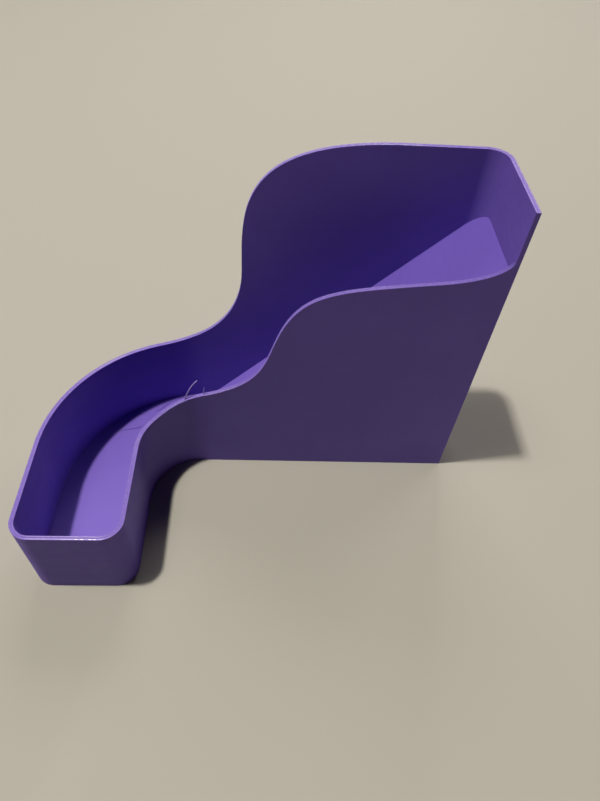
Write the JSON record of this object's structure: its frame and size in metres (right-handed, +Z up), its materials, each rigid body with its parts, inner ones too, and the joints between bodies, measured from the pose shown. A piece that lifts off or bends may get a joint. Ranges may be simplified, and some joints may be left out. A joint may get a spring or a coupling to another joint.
{
  "type": "wave slide",
  "caption": "Open plastic chute printed in one piece: a tall hopper with wave-shaped rims and a 45 degree slide, a quarter bend and a low rounded tray.",
  "frame": {"origin": "middle of the overall box, on the flat underside", "axes": "+X from the tray towards the hopper's rear wall, +Y towards the hopper's far wall, +Z up"},
  "size_m": [0.231, 0.136, 0.181],
  "materials": {
    "purple_plastic": "satin blue-violet printed plastic with fine level layer lines",
    "purple_infill": "unfinished printed infill, hidden inside"
  },
  "bodies": {
    "root": {"hopper_floor": "purple_plastic", "bend_floor": "purple_plastic", "tray_floor": "purple_plastic", "rear_wall": "purple_plastic", "hopper_far_wall": "purple_plastic", "hopper_near_wall": "purple_plastic", "slide_skin": "purple_plastic", "infill_lattice": "purple_infill", "bend_outer_wall": "purple_plastic", "bend_inner_wall": "purple_plastic", "tray_left_wall": "purple_plastic", "tray_right_wall": "purple_plastic", "tray_front_wall": "purple_plastic"}
  },
  "joints": []
}
